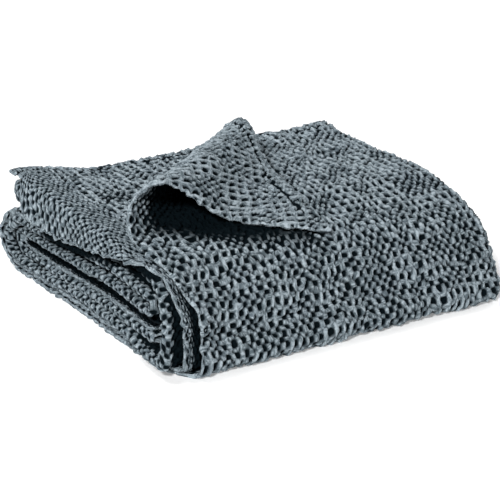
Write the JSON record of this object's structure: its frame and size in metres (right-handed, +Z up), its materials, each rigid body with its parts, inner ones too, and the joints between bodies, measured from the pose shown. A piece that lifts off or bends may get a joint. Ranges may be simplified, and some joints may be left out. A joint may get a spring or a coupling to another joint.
{
  "type": "bedspread",
  "caption": "Honeycomb-woven cotton bedspread, folded into a flat pack, with the corner of its topmost ply turned over.",
  "frame": {"origin": "on the resting plane, under the middle of the folded bedspread's bounding box", "axes": "+X along the long front fold, towards its right end, +Y from the front fold to the back folds, +Z up"},
  "size_m": [0.4684, 0.45, 0.1781],
  "materials": {
    "cloth": "matte, deeply textured honeycomb weave"
  },
  "bodies": {
    "root": {"bedspread": "cloth"}
  },
  "joints": []
}
